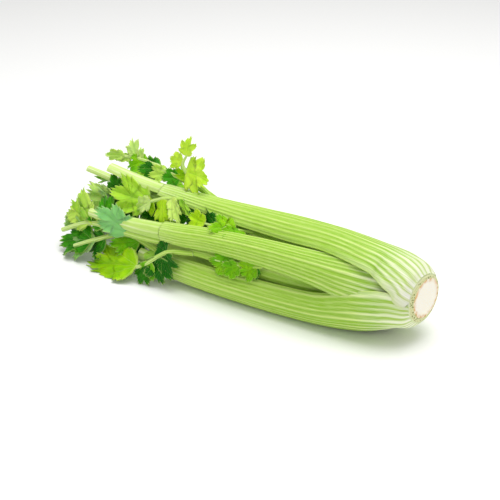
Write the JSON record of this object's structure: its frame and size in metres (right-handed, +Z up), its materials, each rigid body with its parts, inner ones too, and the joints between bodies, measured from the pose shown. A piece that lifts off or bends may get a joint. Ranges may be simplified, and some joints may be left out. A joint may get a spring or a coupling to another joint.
{
  "type": "head of celery",
  "caption": "Whole head of celery lying on its side, with a cut root crown, ribbed stalks in layers around a heart, trimmed stalk ends and leafy sprays.",
  "frame": {"origin": "centre of the bounding box's bottom face, on the table top", "axes": "+X towards the cut root face, -X towards the leaf tips, -Y the side that faces the picture, +Z up"},
  "size_m": [0.3958, 0.1237, 0.1298],
  "materials": {
    "crown_flesh": "matte, moist cut flesh",
    "stalk_skin": "waxy, satin",
    "heart_skin": "waxy, satin",
    "leaf_blade": "satin leaf"
  },
  "bodies": {
    "root": {"root_crown": "crown_flesh", "stalk_top": "stalk_skin", "stalk_front_low": "stalk_skin", "stalk_back_low": "stalk_skin", "stalk_front": "stalk_skin", "stalk_back": "stalk_skin", "stalk_below": "stalk_skin", "stalk_inner_top": "stalk_skin", "stalk_inner_front": "stalk_skin", "heart_upper": "heart_skin", "heart_lower": "heart_skin", "spray_top_sprig": "leaf_blade", "spray_top_back": "leaf_blade", "spray_upper": "leaf_blade", "spray_upper_hanging": "leaf_blade", "spray_gap_upper": "leaf_blade", "spray_gap_lower": "leaf_blade", "spray_middle": "leaf_blade", "spray_front": "leaf_blade", "spray_low": "leaf_blade", "spray_back_upper": "leaf_blade", "spray_back_middle": "leaf_blade", "spray_back_low": "leaf_blade"}
  },
  "joints": []
}
